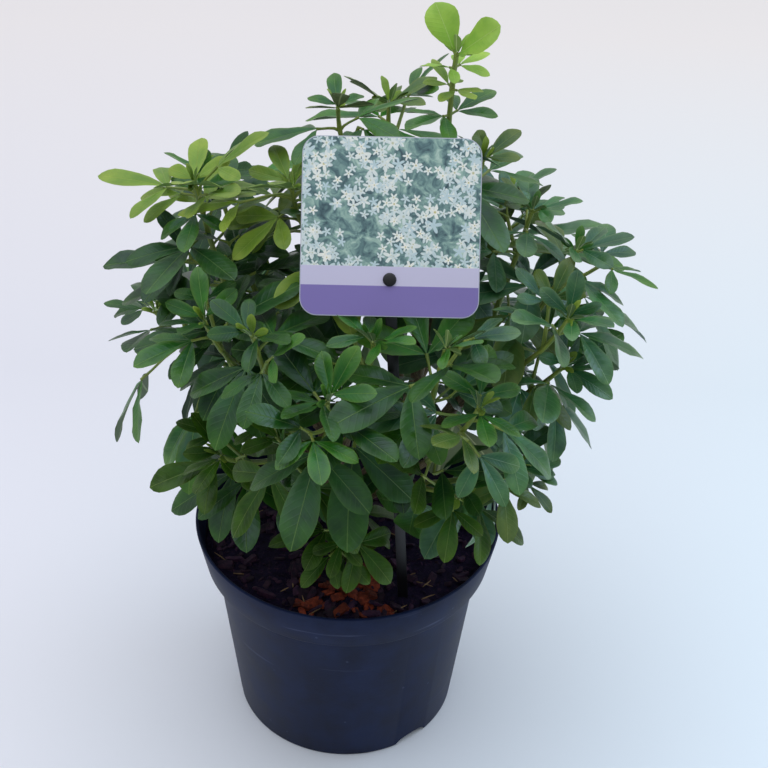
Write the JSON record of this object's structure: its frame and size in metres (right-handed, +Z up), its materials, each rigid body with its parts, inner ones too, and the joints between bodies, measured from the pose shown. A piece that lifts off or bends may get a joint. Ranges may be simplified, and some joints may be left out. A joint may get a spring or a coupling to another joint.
{
  "type": "potted evergreen shrub with leaves of three leaflets",
  "caption": "Young broadleaf evergreen shrub with glossy three-part leaves on upright stems, growing in a round black nursery pot with a plain printed plant label on a stick.",
  "frame": {"origin": "centre of the pot's flat underside, where the plant stands", "axes": "+Z up through the pot and the trunk; -Y is the front, which the label faces; +X is to the right as seen from the front"},
  "size_m": [0.3178, 0.314, 0.4689],
  "materials": {
    "pot_plastic": "moulded black plastic with a dull sheen, lightly scuffed",
    "potting_mix": "moist dark potting mix with red-brown bark chips",
    "stick_plastic": "black moulded plastic",
    "label_print": "printed plastic card with a glossy face and a thin pale edge",
    "bark": "olive-brown stems, older bark towards the foot",
    "young_bark": "green young stems",
    "leaf_mature": "smooth leathery leaves with a cool sheen, paler and duller underneath",
    "leaf_young": "fresh lime-green young leaves with a soft sheen"
  },
  "bodies": {
    "root": {"pot": "pot_plastic", "potting_mix": "potting_mix", "label_stick": "stick_plastic", "label_card": "label_print", "trunk": "bark", "bough_top_leader": "young_bark", "bough_left_young": "young_bark", "bough_right_top": "bark", "bough_centre": "bark", "bough_low_left": "bark", "bough_low_right": "bark", "bough_back_left": "bark", "bough_back_right": "bark", "bough_top_left": "bark", "bough_upper_left": "young_bark", "bough_upper_right": "bark", "bough_left_mid": "bark", "bough_left_front": "bark", "bough_left_skirt": "bark", "bough_low_front": "bark", "bough_front_middle": "bark", "bough_under_label": "bark", "bough_centre_low": "bark", "bough_right_upper": "bark", "bough_right_mid": "bark", "bough_right_low": "bark", "bough_right_skirt": "bark", "bough_back_top": "bark", "bough_back_middle": "bark", "bough_back_low_left": "bark", "bough_back_low_right": "bark", "bough_left_back": "bark", "foliage_top_leader": "leaf_young", "foliage_left_young": "leaf_young", "foliage_right_top": "leaf_mature", "foliage_centre": "leaf_mature", "foliage_low_left": "leaf_mature", "foliage_low_right": "leaf_mature", "foliage_back_left": "leaf_mature", "foliage_back_right": "leaf_mature", "foliage_top_left": "leaf_mature", "foliage_upper_left": "leaf_young", "foliage_upper_right": "leaf_mature", "foliage_left_mid": "leaf_mature", "foliage_left_front": "leaf_mature", "foliage_left_skirt": "leaf_mature", "foliage_low_front": "leaf_mature", "foliage_front_middle": "leaf_mature", "foliage_under_label": "leaf_mature", "foliage_centre_low": "leaf_mature", "foliage_right_upper": "leaf_mature", "foliage_right_mid": "leaf_mature", "foliage_right_low": "leaf_mature", "foliage_right_skirt": "leaf_mature", "foliage_back_top": "leaf_mature", "foliage_back_middle": "leaf_mature", "foliage_back_low_left": "leaf_mature", "foliage_back_low_right": "leaf_mature", "foliage_left_back": "leaf_mature"}
  },
  "joints": []
}
